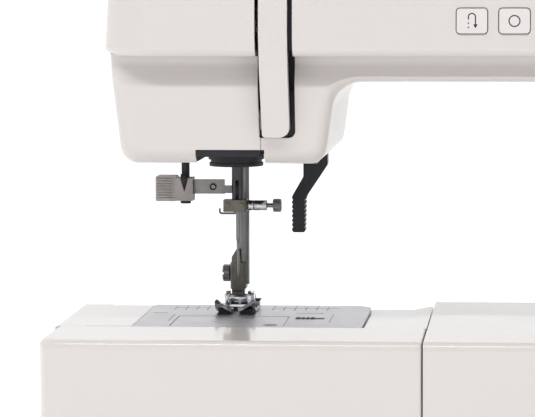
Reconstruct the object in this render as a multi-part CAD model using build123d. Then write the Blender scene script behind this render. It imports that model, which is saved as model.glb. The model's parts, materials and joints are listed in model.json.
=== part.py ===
"""Free-arm household sewing machine with an extension table, as separate pieces.

Millimetres. +Z is up, the operator sits on the -Y side, the head with the needle is at -X
and the handwheel at +X. The origin is the centre of the footprint, on the table top.
"""
import os
from math import cos, radians, sin, tan

from build123d import *

os.makedirs("parts", exist_ok=True)

# ---------------------------------------------------------------- driving dimensions
WIDTH = 392.0
DEPTH = 170.0
HEIGHT = 295.0
LEFT = -WIDTH / 2
RIGHT = WIDTH / 2
FRONT = -DEPTH / 2
REAR = DEPTH / 2

NEEDLE_X = -121.0          # the needle's axis
NEEDLE_Y = 16.0
BED_Z = 76.0               # top of the needle plate above the table top

WALL = 2.5                 # moulded casing wall
GAP = 0.3                  # seam between two casing parts
RUN = 0.05                 # radial clearance of a running fit

# casing
HEAD_Z = BED_Z + 71.5      # underside of the head
ARM_Z = BED_Z + 106.7      # underside of the arm
SHELF_Z = BED_Z + 118.0    # lower lip of the upper body
LID_Z = 268.0              # seam under the top lid
UPPER_LEFT = NEEDLE_X - 52.4
BODY_RIGHT = 176.0
UPPER_FRONT = -54.0
BODY_REAR = 75.0
LEAN = 3.3                 # degrees the upper body leans inwards
UPPER_R = 24.0             # vertical corners of the upper body
LIP_R = 3.6                # rounding of the upper body's lower lip
RIM_R = 7.4                # rounding of the head's front and rear rims
TOP_R = 15.0               # rounding of the top edge
LOWER_FRONT = -46.0
LOWER_REAR = 72.0
COLUMN_LEFT = 44.0
SPLIT_Y = 34.0             # seam between the front and the rear covers
SEAM_X = NEEDLE_X + 16.9   # seam between the face cover and the front cover

# base, free arm and table
BASE_LEFT = -33.0
BASE_BOTTOM = 5.0
BASE_TOP = BED_Z
BASE_BACK = 60.0           # rear edge of the base beside the free arm
BASE_STEP_X = 25.0
ARM_LEFT = -190.0
ARM_FRONT = -38.0
ARM_BACK = 40.0
ARM_BOTTOM = 20.0
ARM_LIP = 6.0              # height of the rim that reaches over the table's end wall
EDGE_R = 3.6               # rounding along the front edge of the table and the base
END_R = 1.8                # rounding of the free arm's left end
PLATE_LEFT = NEEDLE_X - 41.0
PLATE_RIGHT = NEEDLE_X + 59.6
PLATE_T = 2.0
DECK_DROP = 1.7            # the deck right of the plate is this much lower at its rear edge
DECK_RAMP_X = NEEDLE_X + 79.0   # where the deck starts to rise to the base

# shafts
SHAFT_Y = 16.0
SHAFT_Z = 222.0
SHAFT_R = 5.0
LOWER_SHAFT_Z = 40.0
LOWER_SHAFT_R = 4.0
PULLEY_R = 14.0
MOTOR_Y = -8.0
MOTOR_Z = 110.0
MOTOR_PULLEY_R = 10.0
HAND_PULLEY_R = 30.0
HOOK_Y = NEEDLE_Y - 21.0

# sewing parts under the head
BAR_R = 2.75
PRESSER_X = NEEDLE_X + 0.6
PRESSER_Y = NEEDLE_Y + 15.0
PRESSER_R = 3.0
THREADER_X = NEEDLE_X - 24.6
THREADER_Y = NEEDLE_Y + 6.5
THREADER_R = 1.85
LIFTER_X = NEEDLE_X + 33.0
LIFTER_Y = NEEDLE_Y + 31.0
LIFTER_Z = BED_Z + 84.0

# hinges
LID_HINGE_Y = 74.3
LID_HINGE_Z = LID_Z + 1.5
HANDLE_Y = 79.3
HANDLE_Z = 258.0
HANDLE_MID_X = 20.0
TABLE_HINGE_Y = -78.0
TABLE_HINGE_Z = 9.0
TAKE_UP_Y = -8.0
TAKE_UP_Z = 205.0

# front panel
BUTTON_X = NEEDLE_X + 107.5
BUTTON_PITCH = 18.0
BUTTON_Z = BED_Z + 133.2
BUTTON_W = 13.0
BUTTON_H = 10.6
BUTTON_R = 1.5
BUTTON_NAMES = ["reverse_button", "lock_button", "needle_button", "start_stop_button"]
DISPLAY = (62.0, 118.0, 224.0, 254.0)
SLIDER_X = 84.0
SLIDER_Z = BUTTON_Z
SLIDER_TRAVEL = 12.0
DIAL_X = 146.0
DIAL_Z = 232.0
TENSION_X = -76.0
TENSION_Z = 242.0
TENSION_R = 16.5


# ---------------------------------------------------------------- shape helpers
def block(x0, x1, y0, y1, z0, z1):
    middle = Location(((x0 + x1) / 2, (y0 + y1) / 2, (z0 + z1) / 2))
    return middle * Box(x1 - x0, y1 - y0, z1 - z0)


def rod(axis, a0, a1, u, v, radius):
    """Cylinder along X, Y or Z; u and v are its other two coordinates in X, Y, Z order."""
    length = a1 - a0
    mid = (a0 + a1) / 2
    if axis == "x":
        return Location((mid, u, v), (0, 90, 0)) * Cylinder(radius, length)
    if axis == "y":
        return Location((u, mid, v), (90, 0, 0)) * Cylinder(radius, length)
    return Location((u, v, mid)) * Cylinder(radius, length)


def outline(points, radius):
    if isinstance(radius, (int, float)) and radius <= 0:
        return make_face(Polyline(*points, close=True))
    return make_face(FilletPolyline(*points, radius=radius, close=True))


def prism_xy(points, z0, z1, radius=0):
    return extrude(Plane.XY.offset(z0) * outline(points, radius), z1 - z0)


def prism_xz(points, y0, y1, radius=0):
    plane = Plane(origin=(0, y1, 0), x_dir=(1, 0, 0), z_dir=(0, -1, 0))
    return extrude(plane * outline(points, radius), y1 - y0)


def prism_yz(points, x0, x1, radius=0):
    plane = Plane(origin=(x0, 0, 0), x_dir=(0, 1, 0), z_dir=(1, 0, 0))
    return extrude(plane * outline(points, radius), x1 - x0)


def rectangle(u0, u1, v0, v1):
    return [(u0, v0), (u1, v0), (u1, v1), (u0, v1)]


def front_y(z):
    """Y of the upper body's leaning front face at height z."""
    return UPPER_FRONT + (z - SHELF_Z) * tan(radians(LEAN))


def save(name, shape):
    export_step(shape, "parts/" + name + ".step")


# ---------------------------------------------------------------- casing volumes
def upper_solid(inset):
    """The wide upper body above the shelf line, leaning inwards on all sides."""
    width = BODY_RIGHT - UPPER_LEFT - 2 * inset
    depth = BODY_REAR - UPPER_FRONT - 2 * inset
    height = HEIGHT - SHELF_Z - 2 * inset
    middle = ((BODY_RIGHT + UPPER_LEFT) / 2, (BODY_REAR + UPPER_FRONT) / 2, SHELF_Z + inset)
    plan = Location(middle) * RectangleRounded(width, depth, UPPER_R - inset)
    solid = extrude(plan, height, taper=LEAN)
    top = solid.faces().sort_by(Axis.Z)[-1]
    solid = fillet(top.edges(), TOP_R - inset)
    if inset == 0:
        lip = solid.faces().sort_by(Axis.Z)[0]
        solid = fillet(lip.edges(), LIP_R)
    return solid


def lower_solid(inset):
    """Head, arm band and column below the shelf line, one C-shaped volume."""
    i = inset
    points = [
        (NEEDLE_X - 44 + i, HEAD_Z + i),
        (NEEDLE_X + 44 - i, HEAD_Z + i),
        (NEEDLE_X + 48.8 - i, ARM_Z + i),
        (COLUMN_LEFT + i, ARM_Z + i),
        (COLUMN_LEFT + i, BASE_TOP - 20),
        (BODY_RIGHT - 3 - i, BASE_TOP - 20),
        (BODY_RIGHT - 3 - i, SHELF_Z + 10),
        (NEEDLE_X - 49.4 + i, SHELF_Z + 10),
        (NEEDLE_X - 48.4 + i, ARM_Z + 2),
    ]
    radii = [8 - i, 8 - i, 13 + i, 14 + i, 9 - i, 9 - i, 9 - i, 9 - i, 40]
    solid = prism_xz(points, LOWER_FRONT + i, LOWER_REAR - i, radii)
    ordered = solid.faces().sort_by(Axis.Y)
    rim = ordered[0].edges() + ordered[-1].edges()
    solid = fillet(rim, RIM_R - i)
    face = LOWER_FRONT + i
    scoop = [
        (face - 20, SHELF_Z + 1),
        (face + 4.5, SHELF_Z + 1),
        (face + 4.5, SHELF_Z - 3.5),
        (face + 0.02, SHELF_Z - 12),
        (face + 0.02, SHELF_Z - 30),
        (face - 20, SHELF_Z - 30),
    ]
    return solid - prism_yz(scoop, LEFT, BODY_RIGHT + 10, [0, 0, 5, 14, 0, 0])


def body_shell():
    """Upper and lower volumes joined and hollowed, still in one piece."""
    above_base = block(LEFT, RIGHT, FRONT, REAR, BASE_TOP + GAP, HEIGHT + 1)
    outer = upper_solid(0) + (lower_solid(0) & above_base)
    throat = block(NEEDLE_X - 45, BODY_RIGHT - 8, LOWER_FRONT + 8, LOWER_REAR - 4,
                   SHELF_Z - 2, SHELF_Z + 8)
    inner = upper_solid(WALL) + lower_solid(WALL) + throat
    return outer - inner


def strip_points(left, right, low):
    """Outline of the strip beside the thread slots, grown by the three margins."""
    left_top = NEEDLE_X + 16.5 - left
    left_low = NEEDLE_X + 17.7 - left
    right_top = NEEDLE_X + 28.8 + right
    right_low = NEEDLE_X + 29.5 + right
    bottom = BED_Z + 83.2 - low
    return [(left_top, HEIGHT + 5), (left_top, SHELF_Z + 10), (left_low, bottom),
            (right_low, bottom), (right_top, SHELF_Z + 10), (right_top, HEIGHT + 5)]


def slot_region():
    """The two thread slots and the strip between them, as one cut through the front wall."""
    points = strip_points(1.6, 2.2, GAP)
    region = prism_xz(points, UPPER_FRONT - 8, -30, [0, 20, 0.8, 3, 20, 0])
    over_top = prism_xz(points, -31, -16, [0, 20, 0.8, 3, 20, 0])
    return region + (over_top & block(LEFT, RIGHT, -31, -16, LID_Z - 1, HEIGHT + 5))


def thread_strip():
    face = prism_xz(strip_points(0, 0, 0), UPPER_FRONT - 8, -16, [0, 20, 1.5, 4.5, 20, 0])
    low_y = LOWER_FRONT - 3.2
    profile = [
        (low_y, BED_Z + 80),
        (UPPER_FRONT - 0.2, SHELF_Z - 6),
        (front_y(HEIGHT) - 0.2, HEIGHT - 0.6),
        (-17, HEIGHT - 0.6),
        (-17, HEIGHT - 4),
        (front_y(HEIGHT) + 4, HEIGHT - 4),
        (UPPER_FRONT + 4, SHELF_Z - 6),
        (low_y + 6, BED_Z + 80),
    ]
    side = prism_yz(profile, NEEDLE_X, NEEDLE_X + 60, [0, 30, TOP_R, 0, 0, TOP_R - 4, 30, 0])
    return face & side


def notch():
    """Opening in the head's underside around the needle bar and the presser bar."""
    front_part = block(NEEDLE_X - 11.5, NEEDLE_X + 18.2, LOWER_FRONT - 5, SPLIT_Y + 5,
                       HEAD_Z - 5, BED_Z + 77.7)
    return front_part + block(NEEDLE_X - 19, NEEDLE_X, LOWER_FRONT + 5, SPLIT_Y + 5,
                              HEAD_Z - 5, BED_Z + 75)


def lifter_slot():
    return block(NEEDLE_X + 22.5, NEEDLE_X + 43.5, LIFTER_Y - 7, REAR, HEAD_Z - 5, LIFTER_Z + 4)


def panel_cutouts():
    cut = Part()
    for index in range(len(BUTTON_NAMES)):
        middle = BUTTON_X + index * BUTTON_PITCH
        cut += button_prism(middle, 0.35, UPPER_FRONT - 5, -44)
    cut += prism_xz(rectangle(*DISPLAY), UPPER_FRONT - 5, -44, 3)
    cut += block(SLIDER_X - SLIDER_TRAVEL - 3, SLIDER_X + SLIDER_TRAVEL + 3,
                 UPPER_FRONT - 5, -44, SLIDER_Z - 2, SLIDER_Z + 2)
    cut += rod("y", UPPER_FRONT - 5, -44, DIAL_X, DIAL_Z, 4.2)
    cut += block(TENSION_X - 4.6, TENSION_X + 4.6, UPPER_FRONT - 5, -44,
                 TENSION_Z - 12.5, TENSION_Z + 12.5)
    return cut


def button_prism(middle, margin, y0, y1):
    w = BUTTON_W / 2 + margin
    h = BUTTON_H / 2 + margin
    points = rectangle(middle - w, middle + w, BUTTON_Z - h, BUTTON_Z + h)
    return prism_xz(points, y0, y1, BUTTON_R + margin)


# ---------------------------------------------------------------- casing pieces
LAMP = (NEEDLE_X + 24.0, NEEDLE_X + 40.0, -34.0, -16.0)
SCREWS = [(-150, 172), (-110, 172), (64, 96), (158, 96), (64, 176), (158, 176)]


def front_cover(shell):
    zone = block(SEAM_X, RIGHT, FRONT, SPLIT_Y, BED_Z - 10, LID_Z)
    cover = (shell & zone) - slot_region() - notch() - panel_cutouts()
    cover -= block(*LAMP, HEAD_Z - 1, HEAD_Z + 4)
    cover -= rod("x", BODY_RIGHT - 12, RIGHT, SHAFT_Y, SHAFT_Z, 12)
    return cover


def face_cover(shell):
    zone = block(LEFT, SEAM_X - GAP, FRONT, SPLIT_Y, BED_Z - 10, LID_Z)
    cover = (shell & zone) - slot_region() - notch()
    return cover - rod("z", HEAD_Z - 2, HEAD_Z + 6, THREADER_X, THREADER_Y, THREADER_R + 0.6)


def rear_cover(shell):
    zone = block(LEFT, RIGHT, SPLIT_Y + GAP, REAR, BED_Z - 10, LID_Z)
    cover = (shell & zone) - notch() - lifter_slot()
    for x in (-60.0, 60.0):
        for side in (-1, 1):
            start = HANDLE_MID_X + x + side * 6.3
            cover += handle_bracket(start - 2, start + 2)
    for x in (-120.0, 120.0):
        for side in (-1, 1):
            cover += hinge_knuckle(x + side * 11, 5, -1)
    for x, z in SCREWS:
        cover -= rod("y", LOWER_REAR - 10, LOWER_REAR + 5, x, z, 1.7)
    for x in (-60.0, 60.0):
        cover -= rod("x", HANDLE_MID_X + x - 12, HANDLE_MID_X + x + 12, HANDLE_Y, HANDLE_Z, 2.5)
    for x in (-120.0, 120.0):
        cover -= rod("x", x - 20, x + 20, LID_HINGE_Y, LID_HINGE_Z, 1.5)
    return cover


def handle_bracket(x0, x1):
    points = [(69.5, HANDLE_Z - 8), (80, HANDLE_Z - 5), (84.5, HANDLE_Z), (80, HANDLE_Z + 5),
              (69.5, HANDLE_Z + 6)]
    return prism_yz(points, x0, x1, [0, 3, 3, 3, 0])


def hinge_knuckle(x, half, side):
    """One barrel of the lid hinge; side is +1 for the lid and -1 for the rear cover."""
    barrel = rod("x", x - half, x + half, LID_HINGE_Y, LID_HINGE_Z, 3.4)
    low, high = (0.2, 4.2) if side > 0 else (-7.0, -1.7)
    web = block(x - half, x + half, 68.3, LID_HINGE_Y, LID_HINGE_Z + low, LID_HINGE_Z + high)
    return barrel + web


def top_lid(shell):
    lid = shell & block(LEFT, RIGHT, FRONT, REAR, LID_Z + GAP, HEIGHT + 1)
    lid -= slot_region()
    for x in (-120.0, 120.0):
        for side in (-1, 1):
            lid -= rod("x", x + side * 11 - 5.6, x + side * 11 + 5.6, LID_HINGE_Y, LID_HINGE_Z, 3.8)
        lid += hinge_knuckle(x, 5.4, 1)
        lid -= rod("x", x - 8, x + 8, LID_HINGE_Y, LID_HINGE_Z, 1.5 + RUN)
    lid -= block(-20, 20, UPPER_FRONT, UPPER_FRONT + 7, LID_Z, LID_Z + 3)
    return lid


def top_deck():
    deck = upper_solid(WALL + 0.3) & block(LEFT, RIGHT, FRONT, REAR, 260, 262.5)
    deck -= block(NEEDLE_X + 12, NEEDLE_X + 34, FRONT, -2, 255, 265)
    deck -= rod("z", 255, 265, 140, -20, 3 + RUN)
    recess = prism_xy(rectangle(-70, 52, -14, 34), 261.5, 270, 8)
    return deck - recess


def base_housing():
    def volume(inset, z0, z1):
        i = inset
        points = [(BASE_LEFT + i, FRONT + i), (BODY_RIGHT - i, FRONT + i),
                  (BODY_RIGHT - i, REAR - i), (BASE_STEP_X + i, REAR - i),
                  (BASE_STEP_X + i, BASE_BACK - i), (BASE_LEFT + i, BASE_BACK - i)]
        return prism_xy(points, z0, z1, [0, 16 - i, 16 - i, 10 - i, 8 + i, 0])

    outer = volume(0, BASE_BOTTOM, BASE_TOP)
    rim = outer.faces().sort_by(Axis.Z)[-1].edges().sort_by(Axis.X)[1:]
    outer = fillet(rim, EDGE_R)
    end = outer.faces().sort_by(Axis.X)[0].edges().sort_by(Axis.Z)[1:]
    outer = fillet(end, 0.6)
    shell = outer - volume(WALL, BASE_BOTTOM - 1, BASE_TOP - WALL)
    shell -= block(COLUMN_LEFT + 6, BODY_RIGHT - 8, LOWER_FRONT + 6, LOWER_REAR - 6,
                   BASE_TOP - 5, BASE_TOP + 2)
    shell -= block(BASE_LEFT - 1, BASE_LEFT + 5, -30, 35, 22.5, 68)
    shell -= block(BODY_RIGHT - 5, BODY_RIGHT + 1, 19, 41, 32, 48)
    shell -= block(BODY_RIGHT - 5, BODY_RIGHT + 1, -28.2, 0.2, 29.8, 50.2)
    return shell


def bottom_plate():
    points = [(BASE_LEFT + 3, FRONT + 3), (BODY_RIGHT - 3, FRONT + 3), (BODY_RIGHT - 3, REAR - 3),
              (BASE_STEP_X + 3, REAR - 3), (BASE_STEP_X + 3, BASE_BACK - 3),
              (BASE_LEFT + 3, BASE_BACK - 3)]
    return prism_xy(points, BASE_BOTTOM, BASE_BOTTOM + 2.5, [1, 13, 13, 7, 10, 2])


def rubber_feet():
    feet = Part()
    for x, y in ((BASE_LEFT + 16, FRONT + 16), (BODY_RIGHT - 18, FRONT + 16),
                 (BODY_RIGHT - 18, REAR - 18), (BASE_LEFT + 16, BASE_BACK - 16)):
        foot = rod("z", 0, BASE_BOTTOM, x, y, 8)
        feet += chamfer(foot.edges().sort_by(Axis.Z)[0], 1.2)
    return feet


def free_arm_shell():
    def volume(inset, x0):
        i = inset
        points = rectangle(ARM_FRONT + i, ARM_BACK - i, ARM_BOTTOM + i, BED_Z - i)
        return prism_yz(points, x0, BASE_LEFT - GAP, [6 - i, 6 - i, 3.2 - i, 3.2 - i])

    lip = block(LEFT, ARM_LEFT + 8, ARM_FRONT, ARM_BACK, BED_Z - ARM_LIP, BED_Z)
    lip = fillet(lip.faces().sort_by(Axis.X)[0].edges().sort_by(Axis.Z)[-1], END_R)
    shell = volume(0, ARM_LEFT) + lip - volume(WALL, ARM_LEFT + WALL)
    shell -= block(PLATE_LEFT - 0.2, BASE_LEFT, ARM_FRONT - 1, ARM_BACK + 1,
                   BED_Z - PLATE_T, BED_Z + 1)
    shell -= block(PLATE_LEFT + 4, PLATE_RIGHT - 4, ARM_FRONT + 3, ARM_BACK - 3,
                   BED_Z - 8, BED_Z + 1)
    slope = [(ARM_FRONT, BED_Z - 3.8), (ARM_BACK, BED_Z - 3.8), (ARM_BACK, BED_Z - DECK_DROP),
             (ARM_FRONT, BED_Z - 0.2)]
    shell += prism_yz(slope, PLATE_RIGHT + 0.9, BASE_LEFT - GAP)
    ramp = [(DECK_RAMP_X, BED_Z - 3.8), (BASE_LEFT - GAP, BED_Z - 3.8), (BASE_LEFT - GAP, BED_Z - 0.2),
            (BASE_LEFT - 2.2, BED_Z - 0.2), (DECK_RAMP_X, BED_Z - DECK_DROP)]
    return shell + prism_xz(ramp, ARM_FRONT, ARM_BACK)


# ---------------------------------------------------------------- needle plate group
FEED_ROWS = [(-6.5, -9.0, 17.0), (0.0, 6.0, 17.0), (6.5, -9.0, 17.0)]


def needle_plate():
    points = rectangle(PLATE_LEFT, PLATE_RIGHT, ARM_FRONT, ARM_BACK)
    plate = prism_xy(points, BED_Z - PLATE_T, BED_Z, [1, 1, 9, 2])
    low, high = BED_Z - PLATE_T - 1, BED_Z + 1
    plate -= prism_xy(rectangle(NEEDLE_X - 25, NEEDLE_X + 25, -36, 0), low, high, 2)
    plate -= block(NEEDLE_X + 28, NEEDLE_X + 41, -10, -5, low, high)
    plate -= prism_xy(rectangle(NEEDLE_X - 5, NEEDLE_X + 5, NEEDLE_Y - 1.3, NEEDLE_Y + 1.3),
                      low, high, 1.2)
    for dx, y0, y1 in FEED_ROWS:
        plate -= block(NEEDLE_X + dx - 1.7, NEEDLE_X + dx + 1.7, NEEDLE_Y + y0 - 3.2,
                       NEEDLE_Y + y1 + 3.2, low, high)
    return plate


def hook_cover():
    points = rectangle(NEEDLE_X - 24.7, NEEDLE_X + 24.7, -35.7, -0.3)
    cover = prism_xy(points, BED_Z - PLATE_T, BED_Z - 0.1, 1.8)
    return cover - rod("z", BED_Z - 1.2, BED_Z + 1, NEEDLE_X + 19, -30, 3)


def cover_release():
    body = block(NEEDLE_X + 28.3, NEEDLE_X + 36.5, -9.7, -5.3, BED_Z - 4, BED_Z + 0.4)
    for k in range(3):
        x = NEEDLE_X + 30.2 + 2.0 * k
        body -= block(x, x + 0.8, -10, -5, BED_Z + 0.05, BED_Z + 1)
    return body


def feed_dog():
    base = block(NEEDLE_X - 10, NEEDLE_X + 10, NEEDLE_Y - 9, NEEDLE_Y + 17, 70.4, 72.4)
    base -= block(NEEDLE_X - 5.2, NEEDLE_X + 5.2, NEEDLE_Y - 5, NEEDLE_Y + 5, 70, 73)
    for dx, y0, y1 in FEED_ROWS:
        x = NEEDLE_X + dx
        base += block(x - 1.2, x + 1.2, NEEDLE_Y + y0, NEEDLE_Y + y1, 72, BED_Z - 0.4)
        for k in range(int((y1 - y0) // 2)):
            tooth = NEEDLE_Y + y0 + 1.3 + 2.0 * k
            base -= block(x - 2, x + 2, tooth, tooth + 0.7, BED_Z - 1.1, BED_Z)
    return base


def bobbin_holder():
    cup = rod("z", 57, 69.4, NEEDLE_X, HOOK_Y, 16.8) - rod("z", 58.6, 70, NEEDLE_X, HOOK_Y, 12.5)
    return cup - block(NEEDLE_X - 2, NEEDLE_X + 2, HOOK_Y - 18, HOOK_Y - 12, 62, 70)


def bobbin():
    flanges = rod("z", 58.9, 60, NEEDLE_X, HOOK_Y, 10.2) + rod("z", 67.6, 68.7, NEEDLE_X, HOOK_Y, 10.2)
    core = rod("z", 59, 68.6, NEEDLE_X, HOOK_Y, 5)
    return flanges + core - rod("z", 58, 70, NEEDLE_X, HOOK_Y, 3)


def rotating_hook():
    ring = rod("z", 53, 68, NEEDLE_X, HOOK_Y, 20) - rod("z", 55.5, 69, NEEDLE_X, HOOK_Y, 17.4)
    ring -= block(NEEDLE_X - 4, NEEDLE_X + 12, HOOK_Y + 15, HOOK_Y + 22, 63, 69)
    stem = rod("z", 30, 53.5, NEEDLE_X, HOOK_Y, 3)
    gear = rod("z", 38, 44, NEEDLE_X, HOOK_Y, 11.5)
    for k in range(20):
        angle = radians(360 / 20 * k)
        gear -= rod("z", 37, 45, NEEDLE_X + 12 * cos(angle), HOOK_Y + 12 * sin(angle), 0.9)
    return ring + stem + gear


# ---------------------------------------------------------------- drive train
def pulley(axis_y, axis_z, x0, x1, radius):
    wheel = rod("x", x0, x1, axis_y, axis_z, radius)
    for start in (x0 - 1, x1):
        wheel += rod("x", start, start + 1, axis_y, axis_z, radius + 2)
    return wheel


def arm_shaft():
    shaft = rod("x", -98, 178, SHAFT_Y, SHAFT_Z, SHAFT_R)
    shaft += pulley(SHAFT_Y, SHAFT_Z, 140, 149, PULLEY_R)
    return shaft + pulley(SHAFT_Y, SHAFT_Z, 154, 161, HAND_PULLEY_R)


def needle_crank():
    disc = rod("x", -104, -98, SHAFT_Y, SHAFT_Z, 18)
    disc -= rod("x", -105, -97, SHAFT_Y, SHAFT_Z - 13, 4)
    return disc + rod("x", -112, -104, SHAFT_Y, SHAFT_Z + 13, 2.5)


def handwheel():
    wheel = rod("x", 177, RIGHT, SHAFT_Y, SHAFT_Z, 33)
    wheel = fillet(wheel.edges().filter_by(GeomType.CIRCLE), 4)
    wheel -= rod("x", RIGHT - 3, RIGHT + 1, SHAFT_Y, SHAFT_Z, 22)
    wheel -= rod("x", 176, 178.2, SHAFT_Y, SHAFT_Z, SHAFT_R)
    for k in range(24):
        angle = radians(360 / 24 * k)
        y = SHAFT_Y + 34.4 * cos(angle)
        z = SHAFT_Z + 34.4 * sin(angle)
        wheel -= rod("x", 176, RIGHT + 1, y, z, 2.6)
    return wheel


def lower_shaft():
    shaft = rod("x", -133, 152, SHAFT_Y, LOWER_SHAFT_Z, LOWER_SHAFT_R)
    shaft += rod("x", -131, -111, SHAFT_Y, LOWER_SHAFT_Z, 8.4)
    return shaft + pulley(SHAFT_Y, LOWER_SHAFT_Z, 140, 149, PULLEY_R)


def belt(x0, x1, circles, slack, thickness):
    """Flat belt round two pulleys; circles are (y, z, radius)."""
    faces = []
    for grow in (slack + thickness, slack):
        rims = [edge for y, z, r in circles for edge in (Location((y, z)) * Circle(r + grow)).edges()]
        faces.append(make_hull(rims))
    plane = Plane(origin=(x0, 0, 0), x_dir=(0, 1, 0), z_dir=(1, 0, 0))
    return extrude(plane * (faces[0] - faces[1]), x1 - x0)


def drive_belts():
    upper, lower = (SHAFT_Y, SHAFT_Z, PULLEY_R), (SHAFT_Y, LOWER_SHAFT_Z, PULLEY_R)
    driven, driver = (SHAFT_Y, SHAFT_Z, HAND_PULLEY_R), (MOTOR_Y, MOTOR_Z, MOTOR_PULLEY_R)
    timing = belt(140.6, 148.4, [upper, lower], 0.2, 1.5)
    return timing + belt(154.6, 160.4, [driven, driver], 0.2, 1.5)


def motor():
    can = rod("x", 66, 134, MOTOR_Y, MOTOR_Z, 22)
    can = fillet(can.edges().filter_by(GeomType.CIRCLE), 3)
    can += block(70, 130, MOTOR_Y - 18, MOTOR_Y + 18, BASE_TOP + 4, MOTOR_Z)
    return can - rod("x", 120, 136, MOTOR_Y, MOTOR_Z, 3 + RUN)


def motor_pulley():
    return rod("x", 122, 163, MOTOR_Y, MOTOR_Z, 3) + pulley(MOTOR_Y, MOTOR_Z, 154, 161, MOTOR_PULLEY_R)


def upper_frame():
    frame = block(-96, 150, 40, 62, 200, 244)
    frame += block(-96, -88, 6, 41, 206, 240)
    frame += block(-96, -88, TAKE_UP_Y - 7, 8, 198, 212)
    frame += block(118, 128, 6, 41, 206, 240)
    frame += block(118, 134, 40, 62, BASE_TOP + 4, 201)
    frame += block(NEEDLE_X - 9, -88, 52, 62, 200, 244)
    frame += block(NEEDLE_X - 9, NEEDLE_X + 10, 52, 62, 158, 201)
    for z in (158, 206):
        frame += block(NEEDLE_X - 8, NEEDLE_X + 9, PRESSER_Y - 5, 53, z, z + 9)
    frame -= block(-80, 110, 50, 58, 208, 236)
    frame -= rod("x", -100, 140, SHAFT_Y, SHAFT_Z, SHAFT_R + RUN)
    frame -= rod("z", 150, 230, PRESSER_X, PRESSER_Y, PRESSER_R + RUN)
    return frame - rod("x", -98, -86, TAKE_UP_Y, TAKE_UP_Z, 2)


def bed_frame():
    frame = block(-178, 136, -26, 34, 23.5, 28)
    frame += block(-82, -74, 4, 28, 27, 52) + block(118, 126, 4, 28, 27, 52)
    frame += rod("z", 27, 37.5, NEEDLE_X, HOOK_Y, 7)
    frame += block(118, 134, 32, 62, 23.5, 32) + block(118, 134, 40, 62, 31, BASE_TOP + 4)
    frame -= rod("x", -90, 130, SHAFT_Y, LOWER_SHAFT_Z, LOWER_SHAFT_R + RUN)
    return frame - rod("z", 29, 40, NEEDLE_X, HOOK_Y, 3 + RUN)


def control_board():
    board = block(-66, 118, -43.6, -42, 200, 256)
    for k in range(6):
        board += block(-58 + 28 * k, -44 + 28 * k, -42.2, -38.5, 216, 230)
    return board


# ---------------------------------------------------------------- needle bar group
def needle_bar_frame():
    strap = block(NEEDLE_X - 4.5, NEEDLE_X + 4.5, NEEDLE_Y + 5, NEEDLE_Y + 7.6, 160, 215)
    for z in (160, 206):
        strap += block(NEEDLE_X - 4.5, NEEDLE_X + 4.5, NEEDLE_Y - 5, NEEDLE_Y + 6, z, z + 9)
    return strap - rod("z", 150, 220, NEEDLE_X, NEEDLE_Y, BAR_R + RUN)


def needle_bar():
    bar = rod("z", BED_Z + 46, 256, NEEDLE_X, NEEDLE_Y, BAR_R)
    return bar - rod("z", BED_Z + 40, BED_Z + 58, NEEDLE_X, NEEDLE_Y, 1.0)


def needle_clamp():
    clamp = block(NEEDLE_X - 6.3, NEEDLE_X + 4.2, NEEDLE_Y - 4.4, NEEDLE_Y + 3.6,
                  BED_Z + 45.8, BED_Z + 51.1)
    clamp = chamfer(clamp.edges().filter_by(Axis.Z), 0.8)
    clamp += rod("x", NEEDLE_X + 4, NEEDLE_X + 13.2, NEEDLE_Y, BED_Z + 48.5, 2.25)
    clamp -= rod("z", BED_Z + 44, BED_Z + 53, NEEDLE_X, NEEDLE_Y, BAR_R)
    clamp -= rod("x", NEEDLE_X, NEEDLE_X + 20, NEEDLE_Y, BED_Z + 48.5, 1.0 + RUN)
    guide = FilletPolyline((NEEDLE_X - 0.8, NEEDLE_Y - 3.6, BED_Z + 45.1),
                           (NEEDLE_X - 7.9, NEEDLE_Y - 3.6, BED_Z + 45.1),
                           (NEEDLE_X - 7.9, NEEDLE_Y - 3.6, BED_Z + 47.4), radius=1.0)
    section = Plane(origin=guide @ 0, z_dir=guide % 0) * Circle(0.45)
    clamp += sweep(section, guide)
    return clamp + block(NEEDLE_X - 1.6, NEEDLE_X - 0.6, NEEDLE_Y - 4.1, NEEDLE_Y - 3.1,
                         BED_Z + 44.8, BED_Z + 46.2)


def needle():
    shank = rod("z", BED_Z + 33, BED_Z + 57.5, NEEDLE_X, NEEDLE_Y, 1.0)
    shank -= block(NEEDLE_X - 2, NEEDLE_X + 2, NEEDLE_Y + 0.6, NEEDLE_Y + 2, BED_Z + 30, BED_Z + 60)
    shoulder = Location((NEEDLE_X, NEEDLE_Y, BED_Z + 32)) * Cone(0.45, 0.95, 2)
    blade = rod("z", BED_Z + 19, BED_Z + 31.2, NEEDLE_X, NEEDLE_Y, 0.45)
    tip = Location((NEEDLE_X, NEEDLE_Y, BED_Z + 17.5)) * Cone(0.08, 0.45, 3)
    eye = block(NEEDLE_X - 0.17, NEEDLE_X + 0.17, NEEDLE_Y - 1, NEEDLE_Y + 1, BED_Z + 20, BED_Z + 21.6)
    return shank + shoulder + blade + tip - eye


def needle_clamp_screw():
    screw = rod("x", NEEDLE_X + 2.9, NEEDLE_X + 16.2, NEEDLE_Y, BED_Z + 48.5, 1.0)
    head = rod("x", NEEDLE_X + 16, NEEDLE_X + 19.7, NEEDLE_Y, BED_Z + 48.5, 3.0)
    head = chamfer(head.edges().filter_by(GeomType.CIRCLE), 0.4)
    for k in range(16):
        angle = radians(360 / 16 * k)
        head -= rod("x", NEEDLE_X + 15.5, NEEDLE_X + 20, NEEDLE_Y + 3.1 * cos(angle),
                    BED_Z + 48.5 + 3.1 * sin(angle), 0.3)
    return screw + head


# ---------------------------------------------------------------- presser bar group
def presser_bar():
    return rod("z", BED_Z + 11, 236, PRESSER_X, PRESSER_Y, PRESSER_R)


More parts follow.
